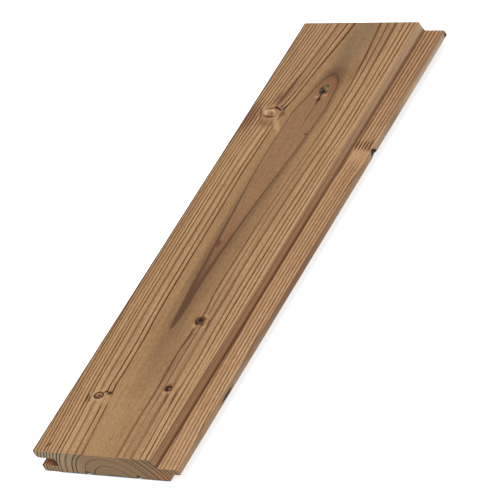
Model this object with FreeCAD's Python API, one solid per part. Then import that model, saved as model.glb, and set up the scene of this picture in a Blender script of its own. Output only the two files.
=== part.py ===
import FreeCAD
import Part
import math
import os

# Short length of tongue and groove cladding board, one piece of milled softwood.
# It lies on its back with the face up. Width runs along X, from the grooved side at -X
# to the tongued side at +X, length runs along Y and thickness along Z. The origin is the
# middle of the underside.

# Blank
length = 408.0
thickness = 20.0

# Face and the shoulder beside it, which stands nearly upright on the ledge
face_width = 100.0
shoulder_drop = 8.0
shoulder_run = 1.3

# Tongue: its upper side is the wide ledge, its tip reaches out past the undercut side
ledge_width = 16.7
tongue_thickness = 5.0
tongue_reach = 5.8
undercut_run = 6.5

# Groove between the face lip and the back lip, which takes the next board's tongue
groove_depth = 15.0
clearance_over_tongue = 1.0
clearance_under_tongue = 1.0

# Relief grooves in the back, spread about the middle of the overall width
relief_count = 2
relief_pitch = 43.0
relief_width = 3.5
relief_depth = 2.9

# Rounded corners of the section
face_lip_edge_radius = 0.8
face_lip_under_radius = 2.0
back_lip_top_radius = 0.6
back_lip_edge_radius = 1.5
groove_corner_radius = 0.8
shoulder_edge_radius = 0.6
shoulder_foot_radius = 0.9
tongue_nose_radius = 1.9
tongue_under_radius = 0.8
tongue_root_radius = 0.5
undercut_toe_radius = 0.8
relief_roof_radius = 1.5

# Levels above the back
ledge_level = thickness - shoulder_drop
tongue_under_level = ledge_level - tongue_thickness
groove_roof_level = ledge_level + clearance_over_tongue
groove_floor_level = tongue_under_level - clearance_under_tongue

# Stations across the width, from the ends of the two lips
shoulder_foot_x = face_width + shoulder_run
tongue_tip_x = shoulder_foot_x + ledge_width
tongue_root_x = tongue_tip_x - tongue_reach
undercut_toe_x = tongue_root_x - undercut_run
overall_width = tongue_tip_x

# No arc takes more than this share of the shorter side beside its corner
arc_share = 0.48


def relief_corners():
    """Corners of the relief grooves, from the tongued side to the grooved side."""
    corners = []
    for index in range(relief_count):
        centre = overall_width / 2 + relief_pitch * ((relief_count - 1) / 2 - index)
        near_side = centre + relief_width / 2
        far_side = centre - relief_width / 2
        corners.append((near_side, 0.0, 0.0))
        corners.append((near_side, relief_depth, relief_roof_radius))
        corners.append((far_side, relief_depth, relief_roof_radius))
        corners.append((far_side, 0.0, 0.0))
    return corners


def section_corners():
    """Corners of the milled section as (x, z, radius), once round from the face lip."""
    return [
        (0.0, thickness, face_lip_edge_radius),
        (face_width, thickness, shoulder_edge_radius),
        (shoulder_foot_x, ledge_level, shoulder_foot_radius),
        (tongue_tip_x, ledge_level, tongue_nose_radius),
        (tongue_tip_x, tongue_under_level, tongue_under_radius),
        (tongue_root_x, tongue_under_level, tongue_root_radius),
        (undercut_toe_x, 0.0, undercut_toe_radius),
        *relief_corners(),
        (0.0, 0.0, back_lip_edge_radius),
        (0.0, groove_floor_level, back_lip_top_radius),
        (groove_depth, groove_floor_level, groove_corner_radius),
        (groove_depth, groove_roof_level, groove_corner_radius),
        (0.0, groove_roof_level, face_lip_under_radius),
    ]


def round_corner(before, corner, after, radius):
    """First, middle and last point of the arc that rounds a corner; None if it is sharp."""
    if radius <= 0:
        return None
    back = before - corner
    ahead = after - corner
    half_angle = back.getAngle(ahead) / 2
    longest = arc_share * min(back.Length, ahead.Length)
    tangent = min(radius / math.tan(half_angle), longest)
    fitted_radius = tangent * math.tan(half_angle)
    back.normalize()
    ahead.normalize()
    inward = (back + ahead).normalize()
    to_middle = fitted_radius / math.sin(half_angle) - fitted_radius
    return corner + back * tangent, corner + inward * to_middle, corner + ahead * tangent


def outline(corners, y):
    """Closed wire across the board at a station along its length."""
    points = [FreeCAD.Vector(x - overall_width / 2, y, z) for x, z, radius in corners]
    stretches = []
    for index, (x, z, radius) in enumerate(corners):
        after = points[(index + 1) % len(points)]
        arc = round_corner(points[index - 1], points[index], after, radius)
        stretches.append(arc or (points[index],))
    edges = []
    for index, stretch in enumerate(stretches):
        if len(stretch) == 3:
            edges.append(Part.Arc(*stretch).toShape())
        following = stretches[(index + 1) % len(stretches)]
        edges.append(Part.LineSegment(stretch[-1], following[0]).toShape())
    return Part.Wire(edges)


def make_board():
    """The board: its section run along the whole length and sawn square at both ends."""
    section = Part.Face(outline(section_corners(), -length / 2))
    return section.extrude(FreeCAD.Vector(0, length, 0))


os.makedirs("parts", exist_ok=True)
board = make_board()
board.exportStep("parts/board.step")
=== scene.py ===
import math

import bmesh
import bpy
import numpy as np
from mathutils import Matrix, Vector


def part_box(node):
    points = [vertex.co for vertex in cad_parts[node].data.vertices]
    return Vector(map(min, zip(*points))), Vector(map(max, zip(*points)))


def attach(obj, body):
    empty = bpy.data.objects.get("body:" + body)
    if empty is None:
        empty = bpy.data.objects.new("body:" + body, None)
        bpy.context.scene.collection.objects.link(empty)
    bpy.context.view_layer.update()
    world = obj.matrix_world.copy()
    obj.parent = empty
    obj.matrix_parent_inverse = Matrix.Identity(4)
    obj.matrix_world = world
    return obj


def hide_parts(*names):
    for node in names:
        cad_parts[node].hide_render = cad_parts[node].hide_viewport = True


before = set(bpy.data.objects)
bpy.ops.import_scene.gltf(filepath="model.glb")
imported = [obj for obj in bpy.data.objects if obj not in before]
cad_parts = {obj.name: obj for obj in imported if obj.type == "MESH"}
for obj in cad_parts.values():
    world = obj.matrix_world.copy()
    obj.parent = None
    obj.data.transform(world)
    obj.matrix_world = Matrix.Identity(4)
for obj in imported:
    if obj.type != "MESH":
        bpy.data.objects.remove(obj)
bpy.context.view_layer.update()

# Measures are in millimetres as a joiner takes them off the board: x across from the ends of the
# lips, y along from the near sawn end, z up from the back. The finished mesh is put in the frame.
MM = 1000.0
low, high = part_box("board")
WIDTH = (high.x - low.x) * MM
LENGTH = (high.y - low.y) * MM
THICKNESS = (high.z - low.z) * MM

# Milled section: the wide face, the shoulder beside it, the ledge and the tongue
FACE_WIDTH = 100.0
SHOULDER_RUN = 1.3
LEDGE_LEVEL = 12.0
TONGUE_UNDER = 7.0
TONGUE_ROOT = WIDTH - 5.8
UNDERCUT_TOE = TONGUE_ROOT - 6.5

# Groove between the lips, and the relief grooves in the back
GROOVE_DEPTH = 15.0
GROOVE_ROOF = LEDGE_LEVEL + 1.0
GROOVE_FLOOR = TONGUE_UNDER - 1.0
RELIEF_PLACES = (WIDTH / 2 + 21.5, WIDTH / 2 - 21.5)
RELIEF_WIDTH = 3.5
RELIEF_DEPTH = 2.9

# How far the edges of the sawn ends are broken, and how squarely a face of end grain looks along
# the board
SAWN_EDGE = 0.25
SAWN_SQUARE = 0.6

# Density of the mesh: pieces of a rounded corner for each millimetre of its radius, and pitch of the
# cuts across, up and along, with closer cuts by the knots
ARC_PIECES = 3.5
PITCH_ACROSS = 0.7
PITCH_UP = 1.0
PITCH_ALONG = 6.0
PITCH_KNOTS = 1.0
KNOT_STRETCHES = ((44, 79), (113, 130), (283, 297), (304, 350))

# Stretches of the board, each with a planed finish of its own that holds only the marks there
STRETCHES = {
    "near_end": (0.0, 90.0),
    "middle": (90.0, 250.0),
    "far_part": (250.0, 328.0),
    "far_end": (328.0, LENGTH),
}

# Edges that turn by more than this stay crisp
SHARP_FROM = math.radians(35)

# The pith runs a little below the back: where it lies across the board, and how deep under the
# face, at stations along the length
PITH_ACROSS = (
    (0, 56.5), (20, 55.3), (50, 53.1), (70, 52.1), (100, 51.0), (130, 50.0), (160, 49.3), (190, 49.0),
    (220, 49.1), (250, 49.6), (270, 50.3), (290, 51.3), (310, 51.8), (320, 52.3), (340, 53.9),
    (360, 54.7), (380, 55.2), (408, 55.5),
)
PITH_DEPTH = (
    (0, 28.0), (30, 27.5), (50, 26.7), (65, 26.2), (90, 25.9), (106, 25.75), (114, 25.54), (122, 25.44),
    (135, 25.36), (150, 25.27), (168, 25.16), (180, 25.04), (190, 24.92), (205, 24.7), (225, 24.3),
    (245, 23.65), (260, 23.1), (280, 22.45), (300, 22.05), (315, 22.1), (330, 23.3), (345, 24.3),
    (355, 25.35), (370, 26.8), (390, 28.4), (408, 29.5),
)

# The rings widen towards the tongue: distance from the pith there, and the like distance on the
# grooved side, where the rings below are given
TONGUED_SIDE = (
    (0, 0), (25.5, 25.5), (32.1, 31.1), (35.1, 33.8), (39.4, 38.5), (44.6, 42.4), (48.4, 44.8),
    (51.3, 47.3), (54.3, 49.9), (57.1, 51.9), (60.1, 54.1), (65.6, 59.0), (72, 64.5), (80, 71.5),
)

# Rings as distance of the dark summer wood's outer edge from the pith, its thickness, and how
# dark it is on the grooved and on the tongued side
RINGS = (
    (5.0, 0.5, 0.5, 0.5),
    (10.8, 0.5, 0.5, 0.5),
    (18.9, 0.5, 0.8, 0.8),
    (25.5, 0.34, 1.25, 1.25),
    (31.3, 0.7, 1.1, 0.85),
    (34.05, 0.7, 1.15, 0.75),
    (38.9, 1.5, 0.54, 0.68),
    (42.7, 0.7, 0.95, 0.75),
    (45.1, 0.7, 1.1, 1.0),
    (47.6, 0.65, 0.8, 0.8),
    (50.1, 0.6, 0.85, 1.05),
    (52.3, 0.6, 1.0, 0.6),
    (54.4, 0.7, 1.05, 0.65),
    (57.0, 0.65, 0.9, 0.8),
    (59.3, 0.65, 0.9, 0.8),
    (61.8, 0.65, 0.8, 0.8),
    (64.3, 0.65, 0.8, 0.7),
    (66.6, 0.65, 0.6, 0.6),
)

# How far the rings lean towards the tongue on the sawn ends, across for each step down; they
# lean less by the grooved side
RING_LEAN = 0.12

# Where the grain is pushed aside: middle on the face, reach across and along, and the shift
SWERVES = (
    ((36, 60), (9, 8), -1.2),
    ((65, 328), (6, 22), 1.8),
    ((100, 370), (18, 55), -1.6),
    ((3, 370), (9, 50), -1.1),
    ((71, 128), (5, 10), 1.6),
    ((69, 85), (5, 16), -0.9),
    ((95, 275), (12, 30), -1.1),
    ((32, 95), (8, 25), 0.55),
    ((40, 20), (5, 25), -0.7),
    ((30, 255), (12, 35), -0.35),
    ((51, 128), (5, 18), 1.3),
    ((16, 307), (12, 17), 1.5),
    ((33, 345), (6, 16), 0.8),
    ((64, 347), (6, 10), 1.4),
    ((96, 337), (8, 28), -1.3),
    ((79, 332), (4, 25), -1.0),
    ((117, 345), (8, 24), -1.1),
    ((89, 88), (4, 20), 0.9),
)

# Where the rings are bolder or fainter: middle on the face, reach across and along, and how much
BOLDNESS = (
    ((8, 312), (11, 12), 1.2),
    ((25, 308), (7, 6), -0.8),
    ((25, 343), (4, 24), 0.6),
    ((35, 47.5), (4, 5), -0.9),
    ((33, 58), (5, 8), 0.4),
    ((111, 385), (10, 50), 0.6),
    ((109, 287), (12, 9), -0.9),
    ((112, 204), (9, 320), 0.25),
    ((105, 25), (3, 30), -0.5),
    ((72, 262), (5, 45), -0.35),
    ((77, 350), (5, 60), 0.4),
    ((81, 85), (3, 30), -0.5),
    ((98, 85), (6, 40), -0.5),
    ((50, 145), (6, 32), -0.12),
    ((55, 355), (7, 5), -0.3),
    ((40, 15), (5, 25), -0.5),
    ((20, 205), (4, 60), 0.4),
    ((31, 326), (5, 11), 0.9),
    ((78.5, 20), (9, 27), -0.66),
    ((43, 325), (5, 24), 0.55),
)

# How many reaches from its middle a swerve or a bold place can still be felt
FELT_WITHIN = 2.5

# How far the outlines of painted marks may wander
WANDER = 1.5

# Depth of the relief: worn spring wood between the rings, and the hollows in and by the knots as
# middle on the face, half size, tilt in degrees and depth
SPRING_WEAR = 0.05
HOLLOWS = (
    ((20.5, 316.5), (2.2, 1.4), -25, 0.15),
    ((27.0, 320.6), (4.5, 1.0), -20, 0.25),
    ((54.5, 338.3), (1.4, 2.2), 0, 0.45),
    ((55.0, 330.0), (1.3, 2.6), 0, 0.4),
    ((71.4, 120.8), (1.6, 1.5), 0, 0.45),
    ((79.8, 60.5), (1.3, 1.1), 30, 0.35),
    ((26.4, 51.0), (2.6, 1.5), 0, 0.2),
)
EDGE_KNOT = (WIDTH, 290.0, 8.3)
EDGE_KNOT_SIZE = (3.0, 3.3, 3.2)
EDGE_KNOT_DEPTH = 0.7
NOSE_CHECK = (WIDTH, 68.0, 9.0)
NOSE_CHECK_SIZE = (2.0, 8.0, 0.9)
NOSE_CHECK_DEPTH = 0.5

# How much bare wood shines
WOOD_SHINE = 0.1

# Where the floor's own light comes up beside and beyond the board, in metres from its middle
HIDDEN_ACROSS = (0.042, 0.049)
HIDDEN_ALONG = (0.2035, 0.2055)


class Field:
    """A quantity that varies over the surface: one socket of a finish's node tree."""

    def __init__(self, finish, socket):
        self.finish = finish
        self.socket = socket

    def reckon(self, operation, *values):
        return self.finish.node("ShaderNodeMath", {"operation": operation}, dict(enumerate(values)))

    def __add__(self, other):
        return self.reckon("ADD", self, other)

    def __radd__(self, other):
        return self.reckon("ADD", other, self)

    def __sub__(self, other):
        return self.reckon("SUBTRACT", self, other)

    def __rsub__(self, other):
        return self.reckon("SUBTRACT", other, self)

    def __mul__(self, other):
        return self.reckon("MULTIPLY", self, other)

    def __rmul__(self, other):
        return self.reckon("MULTIPLY", other, self)

    def __truediv__(self, other):
        return self.reckon("DIVIDE", self, other)

    def __rtruediv__(self, other):
        return self.reckon("DIVIDE", other, self)

    def __pow__(self, other):
        return self.reckon("POWER", self, other)

    def __rpow__(self, other):
        return self.reckon("POWER", other, self)


class Finish:
    """The node tree of a material or of the surroundings, filled one node at a time."""

    def __init__(self, owner):
        owner.use_nodes = True
        self.tree = owner.node_tree
        self.tree.nodes.clear()

    def node(self, kind, settings=None, values=None, output=0):
        """Adds a node, sets it up, feeds its sockets and returns what leaves it."""
        made = self.tree.nodes.new(kind)
        for name, setting in (settings or {}).items():
            if name == "points":
                lay_curve(made.mapping, setting)
            else:
                setattr(made, name, setting)
        for name, value in (values or {}).items():
            if isinstance(value, Field):
                self.tree.links.new(value.socket, made.inputs[name])
            else:
                made.inputs[name].default_value = value
        if not made.outputs:
            return None
        if isinstance(output, tuple):
            return tuple(Field(self, made.outputs[name]) for name in output)
        return Field(self, made.outputs[output])

    def place(self):
        """Where a point of the board lies, in millimetres, as x, y and z."""
        seen = self.node("ShaderNodeTexCoord", output="Object")
        placed = {"Vector": seen, "Location": -low * MM, "Scale": (MM, MM, MM)}
        measured = self.node("ShaderNodeMapping", {"vector_type": "POINT"}, placed)
        return self.node("ShaderNodeSeparateXYZ", values={0: measured}, output=("X", "Y", "Z"))

    def point(self, x, y, z):
        return self.node("ShaderNodeCombineXYZ", values={0: x, 1: y, 2: z})

    def noise(self, x, y, z, detail=2.0):
        """Noise from 0 to 1, 1 unit to a grain, on axes that the caller stretches."""
        fed = {"Vector": self.point(x, y, z), "Scale": 1.0, "Detail": detail, "Roughness": 0.55}
        return self.node("ShaderNodeTexNoise", values=fed, output="Fac")

    def blend(self, under, over, cover, how="MIX"):
        """One colour laid over another where cover is 1."""
        fed = {0: cover, 6: under, 7: over}
        return self.node("ShaderNodeMix", {"data_type": "RGBA", "blend_type": how}, fed, output=2)

    def direct_rays(self):
        """1 for what is seen straight, in a gloss or through glass, and 0 for other light."""
        kinds = ("Is Camera Ray", "Is Glossy Ray", "Is Transmission Ray")
        straight, gloss, through = self.node("ShaderNodeLightPath", output=kinds)
        return larger(larger(straight, gloss), through)


class Brush:
    """Lays soft spots, rims and strokes of a tone over a finish, within a stretch of the board."""

    def __init__(self, finish, where, colour, stretch):
        self.finish = finish
        self.where = where
        self.colour = colour
        self.stretch = stretch

    def away(self, centre, size, tilt):
        """Distance from a centre, which is 1 on the rim of the ellipse or ellipsoid."""
        laid = {
            "Vector": self.where,
            "Location": (*centre, 0.0)[:3],
            "Rotation": (0.0, 0.0, math.radians(tilt)),
            "Scale": (*size, 1.0)[:3],
        }
        inside = self.finish.node("ShaderNodeMapping", {"vector_type": "TEXTURE"}, laid)
        return self.finish.node("ShaderNodeVectorMath", {"operation": "LENGTH"}, {0: inside}, output="Value")

    def lay(self, tone, cover):
        self.colour = self.finish.blend(self.colour, tone, cover)

    def misses(self, centre, size, tilt, spread):
        """Whether a mark lies wholly outside the stretch that the finish covers."""
        turn = math.radians(tilt)
        half = math.hypot(size[0] * math.sin(turn), size[1] * math.cos(turn))
        reach = half * (1 + spread) + WANDER
        return centre[1] + reach < self.stretch[0] or centre[1] - reach > self.stretch[1]

    def spot(self, tone, centre, size, tilt=0.0, soft=0.3, strength=1.0):
        if self.misses(centre, size, tilt, soft):
            return
        away = self.away(centre, size, tilt)
        self.lay(tone, fade(away, 1 - soft, 1 + soft, strength))

    def rim(self, tone, centre, size, tilt=0.0, width=0.2, strength=1.0):
        if self.misses(centre, size, tilt, 1.2 * width):
            return
        away = self.away(centre, size, tilt)
        inner = ease(away, 1 - 1.6 * width, 1 - 0.4 * width)
        self.lay(tone, inner * fade(away, 1 + 0.2 * width, 1 + 1.2 * width, strength))

    def stroke(self, tone, start, end, width, soft=0.5, strength=1.0):
        """A tapered stroke between two points on the face."""
        run = (end[0] - start[0], end[1] - start[1])
        centre = ((start[0] + end[0]) / 2, (start[1] + end[1]) / 2)
        size = (math.hypot(*run) / 2, width / 2)
        self.spot(tone, centre, size, math.degrees(math.atan2(run[1], run[0])), soft, strength)


def shade(red, green, blue):
    """A colour as it reads on a screen, 0 to 255, turned into the renderer's own."""
    parts = [part / 255 for part in (red, green, blue)]
    return (*[part / 12.92 if part < 0.04045 else ((part + 0.055) / 1.055) ** 2.4 for part in parts], 1.0)


def lay_curve(mapping, points):
    """Sets a curve widget to run smoothly through points from (0, ...) to (1, ...)."""
    curve = mapping.curves[0]
    curve.points[0].location = points[0]
    curve.points[1].location = points[-1]
    for point in points[1:-1]:
        curve.points.new(*point)
    for point in curve.points:
        point.handle_type = "AUTO_CLAMPED"
    mapping.update()


def follow(value, points):
    """The smooth curve through (place, height) points, read at a value."""
    reach = points[-1][0]
    bottom = min(height for place, height in points)
    rise = max(height for place, height in points) - bottom
    scaled = [(place / reach, (height - bottom) / rise) for place, height in points]
    if isinstance(value, Field):
        read = value.finish.node("ShaderNodeFloatCurve", {"points": scaled}, {"Value": value / reach})
        return read * rise + bottom
    bench = bpy.data.node_groups.new("bench", "ShaderNodeTree")
    mapping = bench.nodes.new("ShaderNodeFloatCurve").mapping
    lay_curve(mapping, scaled)
    steps = np.linspace(0, 1, 257)
    heights = np.array([mapping.evaluate(mapping.curves[0], step) for step in steps])
    bpy.data.node_groups.remove(bench)
    return np.interp(value / reach, steps, heights) * rise + bottom


def ease(value, start, end):
    """0 up to start, 1 from end on, and a soft rise between them."""
    if isinstance(value, Field):
        ends = {"Value": value, "From Min": start, "From Max": end}
        return value.finish.node("ShaderNodeMapRange", {"interpolation_type": "SMOOTHSTEP"}, ends)
    share = np.clip((value - start) / (end - start), 0, 1)
    return share * share * (3 - 2 * share)


def fade(value, start, end, most=1.0):
    """The most up to start, 0 from end on, and a soft fall between them."""
    ends = {"Value": value, "From Min": start, "From Max": end, "To Min": most, "To Max": 0.0}
    return value.finish.node("ShaderNodeMapRange", {"interpolation_type": "SMOOTHSTEP"}, ends)


def larger(value, other):
    """The larger of two quantities, place by place."""
    if isinstance(value, Field):
        return value.reckon("MAXIMUM", value, other)
    return np.maximum(value, other)


def hill(x, y, middle, reach):
    """1 at the middle of a soft round hill, falling away over its reach across and along."""
    across = (x - middle[0]) * (1 / reach[0])
    along = (y - middle[1]) * (1 / reach[1])
    return math.e ** ((across * across + along * along) * -1)


def pith(y):
    """Where the pith lies across the board and how high, below the back."""
    return follow(y, PITH_ACROSS), THICKNESS - follow(y, PITH_DEPTH)


def reaching(marks, stretch):
    """The swerves or bold places that are felt within a stretch of the board."""
    felt = []
    for middle, reach, amount in marks:
        along = FELT_WITHIN * reach[1]
        if stretch[0] - along < middle[1] < stretch[1] + along:
            felt.append((middle, reach, amount))
    return felt


def ring_place(x, y, z, stretch=(0.0, LENGTH)):
    """How far out in the tree a point lies, on the grooved side's scale, and whether it is on the
    tongued side."""
    for middle, reach, shift in reaching(SWERVES, stretch):
        x = x - hill(x, y, middle, reach) * shift
    across, height = pith(y)
    out = ((x - across) ** 2 + (z - height) ** 2) ** 0.5
    tongued = ease(x, 40, 70)
    return out + (follow(out, TONGUED_SIDE) - out) * tongued, tongued


def summer_wood(out, tongued):
    """How dark the rings are at a place: each comes up softly and ends more abruptly outwards."""
    dark = 0.0
    for radius, thickness, grooved_depth, tongued_depth in RINGS:
        rise = ease(out, radius - thickness * 1.4, radius - thickness * 0.4)
        fall = 1 - ease(out, radius - thickness * 0.1, radius + thickness * 0.3)
        depth = grooved_depth + (tongued_depth - grooved_depth) * tongued
        dark = dark + rise * fall * depth
    return dark


def face_place(x, y, z):
    """Where the branch that a point lies in comes out on the face."""
    across, height = pith(y)
    least_share = 0.12
    share = larger((z - height) / (THICKNESS - height), least_share)
    return across + (x - across) / share


def round_corner(bm, dot, radius):
    """Rounds one corner of the flat section to an arc of the radius."""
    arms = [(edge.other_vert(dot).co - dot.co).normalized() for edge in dot.link_edges]
    tangent = radius / math.tan(arms[0].angle(arms[1]) / 2)
    most_of_half = 0.48
    reach = min(edge.calc_length() for edge in dot.link_edges) * most_of_half
    segments = max(3, round(radius * ARC_PIECES))
    bmesh.ops.bevel(
        bm, geom=[dot], offset=min(tangent, reach), offset_type="OFFSET", segments=segments,
        profile=0.5, affect="VERTICES", clamp_overlap=True, material=-1,
    )


def relief_corners():
    """Corners of the grooves in the back, from the tongued side to the grooved side."""
    corners = []
    for centre in RELIEF_PLACES:
        near_side = centre + RELIEF_WIDTH / 2
        far_side = centre - RELIEF_WIDTH / 2
        corners.append((near_side, 0.0, 0.0))
        corners.append((near_side, RELIEF_DEPTH, 1.5))
        corners.append((far_side, RELIEF_DEPTH, 1.5))
        corners.append((far_side, 0.0, 0.0))
    return corners


def milled_section(bm):
    """The section at the near end as one flat face with rounded corners."""
    # Each corner across, up and with its radius, from the face over the tongue and the back
    corners = [
        (0.0, THICKNESS, 0.8),
        (FACE_WIDTH, THICKNESS, 0.6),
        (FACE_WIDTH + SHOULDER_RUN, LEDGE_LEVEL, 0.9),
        (WIDTH, LEDGE_LEVEL, 1.9),
        (WIDTH, TONGUE_UNDER, 0.8),
        (TONGUE_ROOT, TONGUE_UNDER, 0.5),
        (UNDERCUT_TOE, 0.0, 0.8),
        *relief_corners(),
        (0.0, 0.0, 1.5),
        (0.0, GROOVE_FLOOR, 0.6),
        (GROOVE_DEPTH, GROOVE_FLOOR, 0.8),
        (GROOVE_DEPTH, GROOVE_ROOF, 0.8),
        (0.0, GROOVE_ROOF, 2.0),
    ]
    dots = [bm.verts.new((x, 0.0, z)) for x, z, radius in corners]
    bm.faces.new(dots)
    for dot, (x, z, radius) in zip(dots, corners):
        if radius:
            round_corner(bm, dot, radius)


def stations(start, end, pitch, close_pitch, close_stretches):
    """Places of cuts from start to end, closer together in the close stretches."""
    places = []
    place = start
    while place < end - close_pitch / 2:
        places.append(place)
        close = any(first <= place < last for first, last in close_stretches)
        ahead = [first for first, last in close_stretches if first > place]
        step = close_pitch if close else pitch
        place = min([place + step] + ahead)
    return places


def cut_across(bm, axis, places):
    """Cuts the whole mesh by planes square to an axis, keeping both sides."""
    square_to = Vector((0, 0, 0))
    square_to[axis] = 1.0
    for place in places:
        everything = bm.verts[:] + bm.edges[:] + bm.faces[:]
        cut = square_to * place
        bmesh.ops.bisect_plane(bm, geom=everything, dist=1e-4, plane_co=cut, plane_no=square_to)


def milled_length(bm):
    """The section run along the board, its sawn edges just broken, and cut up for the relief."""
    milled_section(bm)
    grown = bmesh.ops.extrude_face_region(bm, geom=bm.faces[:])
    far_end = [item for item in grown["geom"] if isinstance(item, bmesh.types.BMVert)]
    bmesh.ops.translate(bm, verts=far_end, vec=(0, LENGTH, 0))
    bmesh.ops.recalc_face_normals(bm, faces=bm.faces[:])
    sawn_edges = [edge for edge in bm.edges if abs(edge.verts[0].co.y - edge.verts[1].co.y) < LENGTH / 2]
    bmesh.ops.bevel(
        bm, geom=sawn_edges, offset=SAWN_EDGE, offset_type="OFFSET", segments=2,
        profile=0.5, affect="EDGES", clamp_overlap=True, material=-1,
    )
    cut_across(bm, 1, stations(PITCH_ALONG / 2, LENGTH, PITCH_ALONG, PITCH_KNOTS, KNOT_STRETCHES))
    cut_across(bm, 0, stations(PITCH_ACROSS, WIDTH, PITCH_ACROSS, PITCH_ACROSS, ()))
    cut_across(bm, 2, stations(PITCH_UP, THICKNESS, PITCH_UP, PITCH_UP, ()))
    for face in bm.faces:
        face.smooth = True
        middle = face.calc_center_median().y
        sawn = abs(face.normal.y) > SAWN_SQUARE
        passed = sum(middle > end for start, end in STRETCHES.values())
        face.material_index = len(STRETCHES) if sawn else passed


def hollowed(away, depth):
    """A round hollow: its depth in the middle and nothing from a little past its rim."""
    return (1 - ease(away, 0.2, 1.3)) * depth


def sunk(x, y, z):
    """How far the surface lies under the planed level at each place."""
    out, tongued = ring_place(x, y, z)
    depth = SPRING_WEAR * (1 - np.minimum(summer_wood(out, tongued), 1))
    branch = face_place(x, y, z)
    for middle, half, tilt, deep in HOLLOWS:
        turn = math.radians(tilt)
        across = (branch - middle[0]) * math.cos(turn) + (y - middle[1]) * math.sin(turn)
        along = (y - middle[1]) * math.cos(turn) - (branch - middle[0]) * math.sin(turn)
        depth = depth + hollowed(np.hypot(across / half[0], along / half[1]), deep)
    marks = ((EDGE_KNOT, EDGE_KNOT_SIZE, EDGE_KNOT_DEPTH), (NOSE_CHECK, NOSE_CHECK_SIZE, NOSE_CHECK_DEPTH))
    for middle, half, deep in marks:
        parts = [(place - at) / reach for place, at, reach in zip((x, y, z), middle, half)]
        depth = depth + hollowed(np.sqrt(sum(part * part for part in parts)), deep)
    return depth


def worn(bm):
    """Sinks the spring wood and the hollows into the planed surface, never outwards."""
    bm.normal_update()
    level = np.array([dot.co for dot in bm.verts])
    inward = np.array([dot.normal for dot in bm.verts]) * -1
    level += inward * sunk(*level.T)[:, None]
    for dot, place in zip(bm.verts, level):
        dot.co = place


def milled_board(finishes):
    """The whole board as one closed mesh in the frame."""
    bm = bmesh.new()
    milled_length(bm)
    worn(bm)
    bmesh.ops.transform(bm, matrix=Matrix.Translation(low) @ Matrix.Scale(1 / MM, 4), verts=bm.verts[:])
    mesh = bpy.data.meshes.new("milled_board")
    bm.to_mesh(mesh)
    bm.free()
    mesh.set_sharp_from_angle(angle=SHARP_FROM)
    board = bpy.data.objects.new("milled_board", mesh)
    bpy.context.scene.collection.objects.link(board)
    for finish in finishes:
        mesh.materials.append(finish)
    return board


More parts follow.
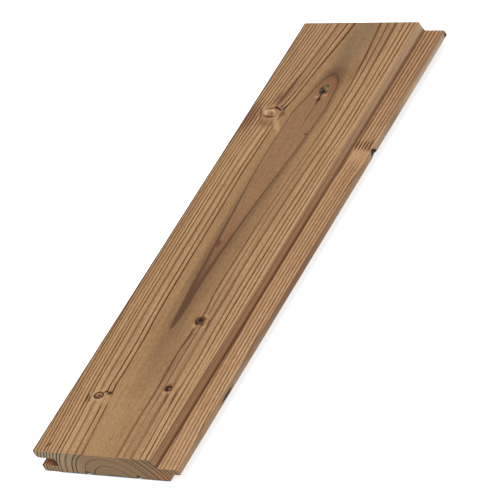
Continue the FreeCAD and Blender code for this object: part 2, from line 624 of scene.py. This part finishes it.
def zone_tones(wood, x, y, out, tongued, stretch):
    """Ground colour of the wood between its rings, from the heart out to the edges."""
    ground = wood.blend(shade(171, 136, 96), shade(199, 161, 118), ease(out, 29, 35))
    ground = wood.blend(ground, shade(203, 164, 124), ease(x, 101.5, 103) * 0.8)
    brush = Brush(wood, wood.point(x, y, 0.0), ground, stretch)
    # Broad darker and paler places of the face and the ledge
    brush.spot(shade(147, 121, 92), (57, 388), (11, 32), soft=0.5, strength=0.9)
    brush.spot(shade(146, 115, 82), (57.5, 90), (9.5, 34), soft=0.5, strength=0.5)
    brush.spot(shade(142, 110, 79), (70.5, 84), (4.5, 20), soft=0.5, strength=0.5)
    brush.spot(shade(174, 137, 98), (21, 152), (5, 60), soft=0.5, strength=0.4)
    brush.spot(shade(168, 130, 90), (4, 52), (5, 62), soft=0.5, strength=0.35)
    brush.spot(shade(140, 109, 79), (62, 210), (6, 100), soft=0.5, strength=0.55)
    brush.spot(shade(134, 104, 76), (42.5, 170), (3, 55), soft=0.6, strength=0.4)
    brush.spot(shade(184, 147, 106), (46, 22), (12, 50), soft=0.6, strength=0.6)
    brush.spot(shade(156, 123, 90), (77, 95), (8, 75), soft=0.5, strength=0.6)
    brush.spot(shade(182, 146, 106), (86.8, 205), (4.8, 260), soft=0.5, strength=0.4)
    brush.spot(shade(152, 120, 88), (78, 395), (7, 35), soft=0.5, strength=0.5)
    brush.spot(shade(158, 126, 89), (25, 92), (5, 28), soft=0.5, strength=0.35)
    brush.spot(shade(156, 121, 88), (82.5, 18), (6, 27), soft=0.5, strength=0.55)
    brush.spot(shade(220, 182, 142), (112, 75), (12, 90), soft=0.5, strength=0.5)
    brush.spot(shade(136, 100, 72), (5, 313), (6, 13), soft=0.6, strength=0.65)
    brush.spot(shade(196, 154, 116), (110, 380), (8, 50), soft=0.5, strength=0.6)
    brush.spot(shade(170, 132, 96), (4, 188), (5, 65), soft=0.5, strength=0.5)
    brush.spot(shade(158, 130, 100), (8, 385), (14, 55), soft=0.5, strength=0.2)
    brush.spot(shade(122, 91, 66), (25, 338), (3, 16), -5, soft=0.5, strength=0.75)
    brush.spot(shade(126, 97, 70), (20, 331), (3, 7), soft=0.6, strength=0.7)
    brush.spot(shade(140, 108, 78), (69, 357), (3.5, 12), soft=0.6, strength=0.5)
    brush.spot(shade(160, 126, 90), (78, 235), (6, 45), soft=0.5, strength=0.45)
    brush.spot(shade(148, 112, 80), (23, 308), (8, 6), soft=0.5, strength=0.8)
    # Brown band between two rings on the grooved side, towards the far end
    band = ease(out, 34.3, 34.9) * (1 - ease(out, 37.6, 38.4)) * (1 - tongued)
    brush.lay(shade(152, 120, 89), band * ease(y, 325, 350) * 0.6)
    # Brown shade outside the loop, but not at its wide middle
    beside = (1 - ease(out, 25.4, 27.9)) * (1 - hill(x, y, (43, 288), (17, 46)))
    beside = beside * (0.25 + ease(y, 70, 130) * 0.75) * (1 - hill(x, y, (40, 125), (7, 32)) * 0.85)
    brush.lay(shade(114, 85, 61), beside * 0.6)
    brush.spot(shade(108, 80, 58), (56, 357), (9, 6), soft=0.6, strength=0.5)
    # The loop itself, its dark tip and the warmer wood round its knot
    brush.lay(shade(157, 121, 88), 1 - ease(out, 24.8, 25.2))
    brush.spot(shade(138, 100, 73), (50, 180), (4.5, 26), soft=0.5, strength=0.85)
    brush.spot(shade(128, 94, 69), (55.5, 350), (8, 6), soft=0.5, strength=0.8)
    brush.spot(shade(128, 88, 63), (60.5, 342), (3.5, 9), soft=0.5, strength=0.7)
    brush.spot(shade(142, 92, 66), (46.5, 190), (1.1, 4), 8, 0.5, 0.6)
    return brush.colour


def on_shoulder(x, z):
    """1 on the nearly upright shoulder between the face and the ledge, and 0 elsewhere."""
    return ease(x, FACE_WIDTH - 0.1, FACE_WIDTH + 0.15) * ease(z, LEDGE_LEVEL - 0.1, LEDGE_LEVEL + 0.5)


def shoulder_tones_and_shade(wood, x, y, z, upright, colour, stretch):
    """The shoulder's even brown, painted shade along its foot by the ledge, its red line, the face's lighter
    arris as fibres and painted highlight, and the dark ends of the lips.
    """
    where = wood.point(x, y, z)
    ends = wood.blend(shade(176, 136, 102), shade(216, 180, 146), ease(y, 200, 400))
    brown = wood.blend(ends, shade(180, 135, 104), hill(x, y, (100, 165), (90, 50)))
    brush = Brush(wood, where, wood.blend(colour, brown, upright * 0.85), stretch)
    # Painted shade darkening the foot of the shoulder, where it meets the ledge
    foot = upright * (1 - ease(z, 12.6, 15.2)) * (0.85 - ease(y, 210, 260) * 0.2)
    brush.lay(shade(84, 50, 33), foot)
    brush.spot(shade(120, 70, 46), (101.3, 200.0, 17.2), (3.0, 210.0, 0.45), 0, 0.5, 0.5)
    brush.spot(shade(90, 54, 36), (100.2, 55.0, 19.0), (0.8, 62.0, 0.6), 0, 0.5, 0.6)
    # Painted shade in the corner at the shoulder's foot, towards the far end
    brush.spot(shade(96, 62, 44), (101.5, 350.0, LEDGE_LEVEL), (1.0, 80.0, 1.2), 0, 0.5, 0.5)
    # Lighter arris along the face's edge: its paler fibres and a painted highlight
    brush.spot(shade(196, 158, 120), (99.8, 204.0, 19.9), (0.8, 230.0, 0.9), 0, 0.4, 0.6)
    brush.lay(shade(84, 57, 39), (1 - ease(x, 1.0, 2.2)) * 0.85)
    return brush.colour


def groove_tones_and_shade(wood, x, z, colour):
    """The redder wood inside the groove, with painted shade darkening it towards its back."""
    level = ease(z, GROOVE_FLOOR - 0.3, GROOVE_FLOOR - 0.05)
    level = level * (1 - ease(z, GROOVE_ROOF + 0.05, GROOVE_ROOF + 0.3))
    # Red wood at the groove's mouth, turning to painted shade deep inside
    reddish_and_shaded = wood.blend(shade(204, 140, 94), shade(92, 56, 40), ease(x, 5, 13))
    return wood.blend(colour, reddish_and_shaded, level * (1 - ease(x, GROOVE_DEPTH + 0.2, GROOVE_DEPTH + 0.6)) * 0.85)


def knots(wood, x, y, z, colour, stretch):
    """The knots and their checks, where their branches come out on the face."""
    loose = wood.noise(x * 0.8, y * 0.8, z * 0.8) - 0.5
    where = wood.point(face_place(x, y, z) + loose * 1.8, y - loose * 1.4, 0.0)
    brush = Brush(wood, where, colour, stretch)
    black = shade(24, 17, 12)
    dark = shade(58, 34, 22)
    brown = shade(112, 74, 48)
    red = shade(136, 86, 56)
    tan = shade(176, 138, 98)
    pale = shade(188, 154, 114)
    # Slanting oval knot near the far end, by the grooved side
    brush.stroke(shade(202, 164, 120), (27, 311.5), (37, 298.5), 3.8, 0.8, 0.55)
    brush.spot(shade(192, 152, 110), (20.5, 316.8), (10, 6.5), -20, 0.35, 0.6)
    brush.stroke(shade(70, 46, 36), (9.5, 321.5), (14.5, 311.5), 1.5, 0.5, 0.85)
    brush.spot(red, (19.5, 316.8), (7.6, 5.2), -22, 0.2, 0.85)
    brush.spot(shade(206, 174, 134), (19.3, 317.1), (6.2, 3.5), -22, 0.35, 0.85)
    brush.rim(brown, (20.8, 316.0), (3.0, 1.7), -25, 0.5, 0.5)
    brush.stroke(shade(108, 60, 36), (16.5, 313.2), (25.6, 312.8), 2.1, 0.5)
    brush.stroke(shade(118, 70, 44), (14.5, 319.6), (21.5, 321.4), 1.7, 0.6, 0.9)
    brush.spot(shade(96, 72, 50), (21.2, 315.9), (1.9, 1.1), -20, 0.5, 0.85)
    brush.spot(shade(122, 78, 52), (31.2, 315.6), (2.6, 2.9), 0, 0.5, 0.9)
    brush.stroke(dark, (20.6, 323.0), (26.0, 320.4), 2.0, 0.5)
    brush.stroke(dark, (24.8, 320.8), (28.8, 318.9), 1.7, 0.5)
    brush.stroke(dark, (28.6, 326.0), (24.8, 320.9), 1.5, 0.5, 0.8)
    brush.stroke(dark, (32.2, 326.2), (28.4, 318.4), 1.8, 0.5, 0.95)
    # Cracked knot within the loop of the grain
    brush.spot(shade(138, 92, 63), (54.8, 341.5), (7.4, 9.0), 0, 0.35, 0.85)
    brush.spot(tan, (51.4, 332.6), (1.8, 1.1), -20, 0.5, 0.8)
    brush.spot(tan, (58.4, 334.2), (1.9, 1.3), 30, 0.5, 0.85)
    brush.spot(shade(148, 128, 96), (54.4, 340), (4.7, 6.1), 0, 0.15, 0.75)
    brush.spot(shade(92, 72, 52), (54.4, 340), (4.1, 5.4), 0, 0.2)
    brush.spot(shade(136, 94, 66), (54.0, 342.6), (1.5, 1.4), 0, 0.5, 0.9)
    brush.spot(black, (52.0, 341.6), (1.3, 0.9), 30, 0.4, 0.85)
    brush.spot(black, (55.6, 344.2), (0.9, 0.7), 0, 0.5, 0.8)
    brush.spot(black, (54.4, 337.8), (1.5, 2.1), 0, 0.4)
    brush.spot(black, (56.8, 337.2), (1.2, 0.9), 0, 0.5, 0.9)
    brush.spot(shade(140, 120, 90), (56.6, 340.8), (1.1, 1.6), 0, 0.5, 0.8)
    brush.stroke(dark, (54.4, 336), (54.8, 331), 1.2)
    brush.spot(black, (54.9, 330.2), (1.5, 1.9), 0, 0.4, 0.95)
    brush.stroke(dark, (55, 330), (54.9, 325), 1.5, 0.6, 0.9)
    brush.stroke(shade(112, 76, 52), (55, 328), (54.4, 303), 1.1, 0.8, 0.75)
    # Dark round knot at mid length
    brush.stroke(tan, (72.5, 126.5), (76, 123.5), 2.6, 0.5, 0.8)
    brush.stroke(tan, (66.5, 117.5), (71, 114.2), 2.2, 0.5, 0.8)
    brush.spot(pale, (77.4, 115.8), (1.9, 1.2), 30, 0.5, 0.7)
    brush.stroke(red, (65.4, 119.0), (66.8, 126), 1.6, 0.6, 0.9)
    brush.spot(shade(36, 22, 15), (71.3, 120.7), (4.0, 3.9), 0, 0.12)
    brush.rim(shade(116, 76, 50), (71.7, 121.1), (2.5, 2.5), 0, 0.26, 0.8)
    brush.spot(black, (71.3, 120.8), (1.2, 1.1), 0, 0.5)
    brush.spot(shade(112, 62, 38), (75.0, 117.0), (1.4, 1.2), -30, 0.4)
    brush.stroke(shade(106, 70, 46), (78.6, 122), (80.8, 112), 1.8, 0.5, 0.85)
    brush.stroke(shade(92, 66, 48), (71.6, 115.5), (70.3, 98), 1.4, 0.7, 0.9)
    # Two small knots by the near end
    brush.spot(tan, (79.6, 57.2), (3.9, 1.4), 0, 0.5, 0.8)
    brush.spot(red, (79.6, 61.2), (3.7, 3.8), 0, 0.3, 0.8)
    brush.spot(shade(44, 26, 18), (79.6, 60.6), (2.9, 2.7), -20, 0.15)
    brush.spot(shade(136, 112, 84), (80.5, 60.6), (0.9, 0.7), 0, 0.5)
    brush.stroke(shade(94, 64, 44), (81.2, 56.5), (83.8, 48), 1.3, 0.7, 0.85)
    brush.stroke(shade(96, 56, 36), (87.5, 60.5), (89.2, 44), 1.6, 0.7, 0.85)
    brush.spot(tan, (34.8, 47.6), (3.6, 4.2), 20, 0.6, 0.5)
    brush.spot(tan, (26.5, 46), (5.5, 2.0), 0, 0.5, 0.5)
    brush.stroke(shade(128, 84, 56), (25.6, 45.2), (28.4, 44.6), 1.5, 0.5, 0.7)
    brush.rim(pale, (26.3, 50.9), (5.6, 4.3), 0, 0.2, 0.5)
    brush.spot(shade(66, 36, 22), (26.3, 50.9), (4.3, 3.1), 0, 0.14)
    brush.spot(shade(150, 112, 80), (26.2, 51.2), (2.9, 1.8), 0, 0.25)
    brush.spot(shade(72, 52, 38), (26.8, 50.7), (1.6, 0.8), 0, 0.5, 0.9)
    brush.stroke(dark, (28.8, 53.6), (31.8, 55.2), 1.8, 0.4)
    brush.spot(shade(60, 34, 22), (34.2, 53.4), (1.8, 1.5), 0, 0.35)
    brush.stroke(shade(80, 48, 32), (17, 53), (18.8, 44), 1.5, 0.6, 0.9)
    brush.stroke(shade(76, 48, 34), (19.2, 50.2), (21.3, 45), 1.5, 0.6, 0.9)
    brush.stroke(dark, (9.2, 3.6), (11.8, 8.2), 1.4, 0.5, 0.95)
    # Small dark flecks on the loop of the grain
    brush.spot(shade(100, 60, 44), (62.6, 296), (1.4, 1.0), 0, 0.5, 0.9)
    brush.spot(shade(92, 58, 42), (45.2, 192), (0.8, 3.0), 0, 0.5, 0.85)
    brush.spot(shade(84, 52, 38), (47.3, 190.4), (0.8, 3.2), 0, 0.5, 0.85)
    # Torn arris at the far end
    brush.spot(shade(146, 94, 60), (50, 407.9), (60, 0.7), 0, 0.4, 0.7)
    return brush.colour


def tongue_marks(wood, x, y, z, colour, stretch):
    """The tongue's worn nose with its knot and its check, and the dark dashes on the ledge."""
    nose = ease(x, WIDTH - 1.2, WIDTH - 0.4)
    brush = Brush(wood, wood.point(x, y, z), colour, stretch)
    worn_grey = wood.blend(shade(180, 143, 110), shade(220, 190, 158), ease(y, 250, 400))
    brush.lay(worn_grey, nose * 0.8)
    brush.lay(shade(146, 108, 82), nose * hill(x, y, (WIDTH, 172), (20, 55)))
    brush.lay(shade(174, 151, 124), nose * hill(x, y, (WIDTH, 82), (20, 14)) * 0.8)
    ledge = ease(x, 102.5, 104.0)
    brush.lay(shade(194, 157, 118), ledge * hill(x, y, (109, 283), (10, 5)) * 0.5)
    brush.spot(shade(150, 94, 66), (115.8, 290.3, LEDGE_LEVEL), (2.8, 1.8, 3.0), 0, 0.5, 0.8)
    for across, foot in ((103.5, 289.8), (106.3, 289.4), (109.0, 289.6), (111.6, 289.0), (114.6, 290.2)):
        brush.spot(shade(74, 36, 24), (across, foot + 4.4, LEDGE_LEVEL), (0.7, 4.8, 3.0), 0, 0.4, 0.95)
    brush.spot(shade(146, 110, 82), (116.9, 372, 11.6), (2.2, 50, 1.4), 0, 0.5, 0.75)
    brush.spot(shade(118, 86, 66), (WIDTH, 150, 11.1), (1.4, 150, 0.7), 0, 0.5, 0.55)
    brush.lay(shade(146, 116, 92), nose * hill(x, y, (WIDTH, 322), (20, 14)) * 0.7)
    brush.spot(shade(20, 26, 24), EDGE_KNOT, EDGE_KNOT_SIZE, 0, 0.12)
    brush.spot(shade(118, 104, 84), (WIDTH, EDGE_KNOT[1] + 0.4, 7.8), (3.0, 1.4, 1.3), 0, 0.4, 0.9)
    brush.spot(shade(40, 31, 24), NOSE_CHECK, NOSE_CHECK_SIZE, 0, 0.4, 0.9)
    brush.spot(shade(90, 52, 40), (WIDTH, 406.5, 8.6), (2.0, 2.2, 2.4), 0, 0.4, 0.9)
    return brush.colour


def bolder(x, y, dark, stretch):
    """The darkness of the rings where the grain is drawn together or washed out."""
    for middle, reach, gain in reaching(BOLDNESS, stretch):
        dark = dark * (hill(x, y, middle, reach) * gain + 1)
    return dark


def bare_wood(wood, colour, roughness, height, strength, depth):
    """Ends a finish as bare wood with a fine relief."""
    relief = wood.node("ShaderNodeBump", values={"Strength": strength, "Distance": depth, "Height": height})
    skin = {"Base Color": colour, "Roughness": roughness, "Normal": relief, "Specular IOR Level": WOOD_SHINE}
    shaded = wood.node("ShaderNodeBsdfPrincipled", values=skin)
    wood.node("ShaderNodeOutputMaterial", values={"Surface": shaded})


def planed_finish(name, stretch):
    """Planed heat-treated softwood along a stretch of the board."""
    material = bpy.data.materials.new(name)
    wood = Finish(material)
    x, y, z = wood.place()
    out, tongued = ring_place(x, y, z, stretch)
    # The rings outside the loop waver a little
    wander = wood.noise(x * 0.25, y * 0.03, z * 0.25) - 0.5
    out = out + wander * ease(out, 25.8, 30) * 0.6
    dark = bolder(x, y, summer_wood(out, tongued), stretch)
    colour = zone_tones(wood, x, y, out, tongued, stretch)
    # Darker years, streaks of fibre and fine flecks
    years = wood.noise(out * 1.3, y * 0.006, tongued * 9, 3.0)
    slow = ease(years, 0.45, 0.75) * ease(out, 28, 34)
    colour = wood.blend(colour, shade(212, 198, 184), slow, "MULTIPLY")
    fibre = wood.noise(x * 1.5, y * 0.03, z * 1.5, 3.0)
    colour = wood.blend(colour, shade(230, 224, 217), 1 - ease(fibre, 0.3, 0.62), "MULTIPLY")
    flecks = wood.noise(x * 1.7, y * 0.3, z * 1.7, 4.0)
    colour = wood.blend(colour, shade(228, 221, 214), 1 - ease(flecks, 0.36, 0.6), "MULTIPLY")
    colour = groove_tones_and_shade(wood, x, z, colour)
    # The summer wood of the rings, faint on the shoulder
    upright = on_shoulder(x, z)
    summer = wood.blend(shade(94, 64, 45), shade(80, 41, 24), ease(out, 26, 30))
    colour = wood.blend(colour, summer, dark * (1 - upright * 0.85))
    colour = shoulder_tones_and_shade(wood, x, y, z, upright, colour, stretch)
    colour = knots(wood, x, y, z, colour, stretch)
    colour = tongue_marks(wood, x, y, z, colour, stretch)
    grain = wood.noise(x * 2.2, y * 0.08, z * 2.2, 3.0)
    bare_wood(wood, colour, 0.62 - dark * 0.08, grain, strength=0.25, depth=0.00012)
    return material


def sawn_finish():
    """End grain as the saw left it."""
    material = bpy.data.materials.new("sawn_end_grain")
    wood = Finish(material)
    x, y, z = wood.place()
    lean = ease(x, 10, 45) * RING_LEAN
    out, tongued = ring_place(x - (THICKNESS - z) * lean, y, z)
    out = out + (1 - ease(out, 25.8, 30)) * 0.7 + (wood.noise(x * 0.3, y, z * 0.3) - 0.5) * 0.7
    dark = summer_wood(out, tongued) * 1.3
    # Brown end grain, paler by the groove, redder by the undercut and grey on the face lip
    pores = wood.noise(x * 1.1, y, z * 1.1, 4.0)
    colour = wood.blend(shade(130, 103, 73), shade(178, 143, 106), ease(pores, 0.3, 0.7))
    colour = wood.blend(colour, shade(200, 166, 128), (1 - ease(x, 22, 44)) * 0.5)
    colour = wood.blend(colour, shade(188, 130, 92), hill(x, z, (106, 2), (16, 9)) * 0.8)
    colour = wood.blend(colour, shade(176, 158, 130), hill(x, z, (8, 17), (16, 6)) * 0.6)
    # The rings, the face's lighter arris as fibres and painted highlight, and painted shadow along the
    # back's edge
    colour = wood.blend(colour, shade(62, 54, 46), dark * 0.9)
    colour = wood.blend(colour, shade(190, 148, 106), ease(z, THICKNESS - 0.7, THICKNESS - 0.2) * 0.8)
    # Painted shadow along the back's edge, where the board meets the floor
    colour = wood.blend(colour, shade(62, 46, 36), (1 - ease(z, 0.3, 1.1)) * 0.8)
    tracks = wood.noise(x * 0.4 + z * 0.1, y, z * 2.6 - x * 0.5, 2.0)
    bare_wood(wood, colour, 0.8, tracks, strength=0.4, depth=0.0002)
    return material


def pale_floor():
    """A wide pale floor that reads white where no shadow falls."""
    bm = bmesh.new()
    bmesh.ops.create_circle(bm, cap_ends=True, segments=96, radius=12.0)
    mesh = bpy.data.meshes.new("pale_floor")
    bm.to_mesh(mesh)
    bm.free()
    floor = bpy.data.objects.new("pale_floor", mesh)
    bpy.context.scene.collection.objects.link(floor)
    material = bpy.data.materials.new("pale_floor")
    paint = Finish(material)
    where = paint.node("ShaderNodeTexCoord", output="Object")
    distance = paint.node("ShaderNodeVectorMath", {"operation": "LENGTH"}, {0: where}, output="Value")
    east, north, up = paint.node("ShaderNodeSeparateXYZ", values={0: where}, output=("X", "Y", "Z"))
    # The floor gives light of its own, but not under the board
    beside = ease(larger(east, east * -1), *HIDDEN_ACROSS)
    beyond = ease(larger(north, north * -1), *HIDDEN_ALONG)
    lift = (0.73 + ease(distance, 0.5, 2.5) * 0.3) * larger(beside, beyond)
    matt = paint.node("ShaderNodeBsdfDiffuse", values={"Color": (0.76, 0.85, 0.95, 1.0)})
    glow = {"Color": (1.0, 1.0, 1.0, 1.0), "Strength": lift * paint.direct_rays()}
    lit = paint.node("ShaderNodeEmission", values=glow)
    both = paint.node("ShaderNodeAddShader", values={0: matt, 1: lit})
    paint.node("ShaderNodeOutputMaterial", values={"Surface": both})
    mesh.materials.append(material)


def soft_box(name, place, size, power):
    """A square soft light at a place, turned to the board."""
    light = bpy.data.lights.new(name, "AREA")
    light.shape = "SQUARE"
    light.size = size
    light.energy = power
    box = bpy.data.objects.new(name, light)
    box.location = place
    box.rotation_mode = "QUATERNION"
    box.rotation_quaternion = Vector(place).to_track_quat("Z", "Y")
    bpy.context.scene.collection.objects.link(box)


def studio():
    """Even white surroundings and a soft box above."""
    world = bpy.data.worlds.new("studio")
    air = Finish(world)
    white = (1.0, 1.0, 1.0, 1.0)
    ambient = air.node("ShaderNodeBackground", values={"Color": white, "Strength": 0.5})
    backdrop = air.node("ShaderNodeBackground", values={"Color": white, "Strength": 1.0})
    either = air.node("ShaderNodeMixShader", values={0: air.direct_rays(), 1: ambient, 2: backdrop})
    air.node("ShaderNodeOutputWorld", values={"Surface": either})
    bpy.context.scene.world = world
    soft_box("soft_box_above", (0.15, -0.35, 2.0), 1.4, 26.0)


def camera():
    """The photograph's view: well above the board, off its near end and tongued side, and rolled."""
    azimuth = math.radians(48.93)
    elevation = math.radians(35.36)
    roll = math.radians(-31.46)
    aim = Vector((0.0067, -0.0091, 0.0101))
    distance = 2.5007
    back = Vector((
        math.sin(azimuth) * math.cos(elevation),
        -math.cos(azimuth) * math.cos(elevation),
        math.sin(elevation),
    ))
    lens = bpy.data.cameras.new("camera")
    lens.lens = 267.72
    lens.sensor_width = 36.0
    viewer = bpy.data.objects.new("camera", lens)
    viewer.location = aim + back * distance
    level = Vector((math.cos(azimuth), math.sin(azimuth), 0))
    upright = back.cross(level)
    right = level * math.cos(roll) + upright * math.sin(roll)
    turned = Matrix((right, back.cross(right), back)).transposed()
    viewer.rotation_mode = "QUATERNION"
    viewer.rotation_quaternion = turned.to_quaternion()
    bpy.context.scene.collection.objects.link(viewer)
    bpy.context.scene.camera = viewer


planed = [planed_finish("planed_" + place, stretch) for place, stretch in STRETCHES.items()]
board = milled_board([*planed, sawn_finish()])
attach(board, "root")
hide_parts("board")

pale_floor()
studio()
camera()
bpy.context.scene.view_settings.view_transform = "Standard"
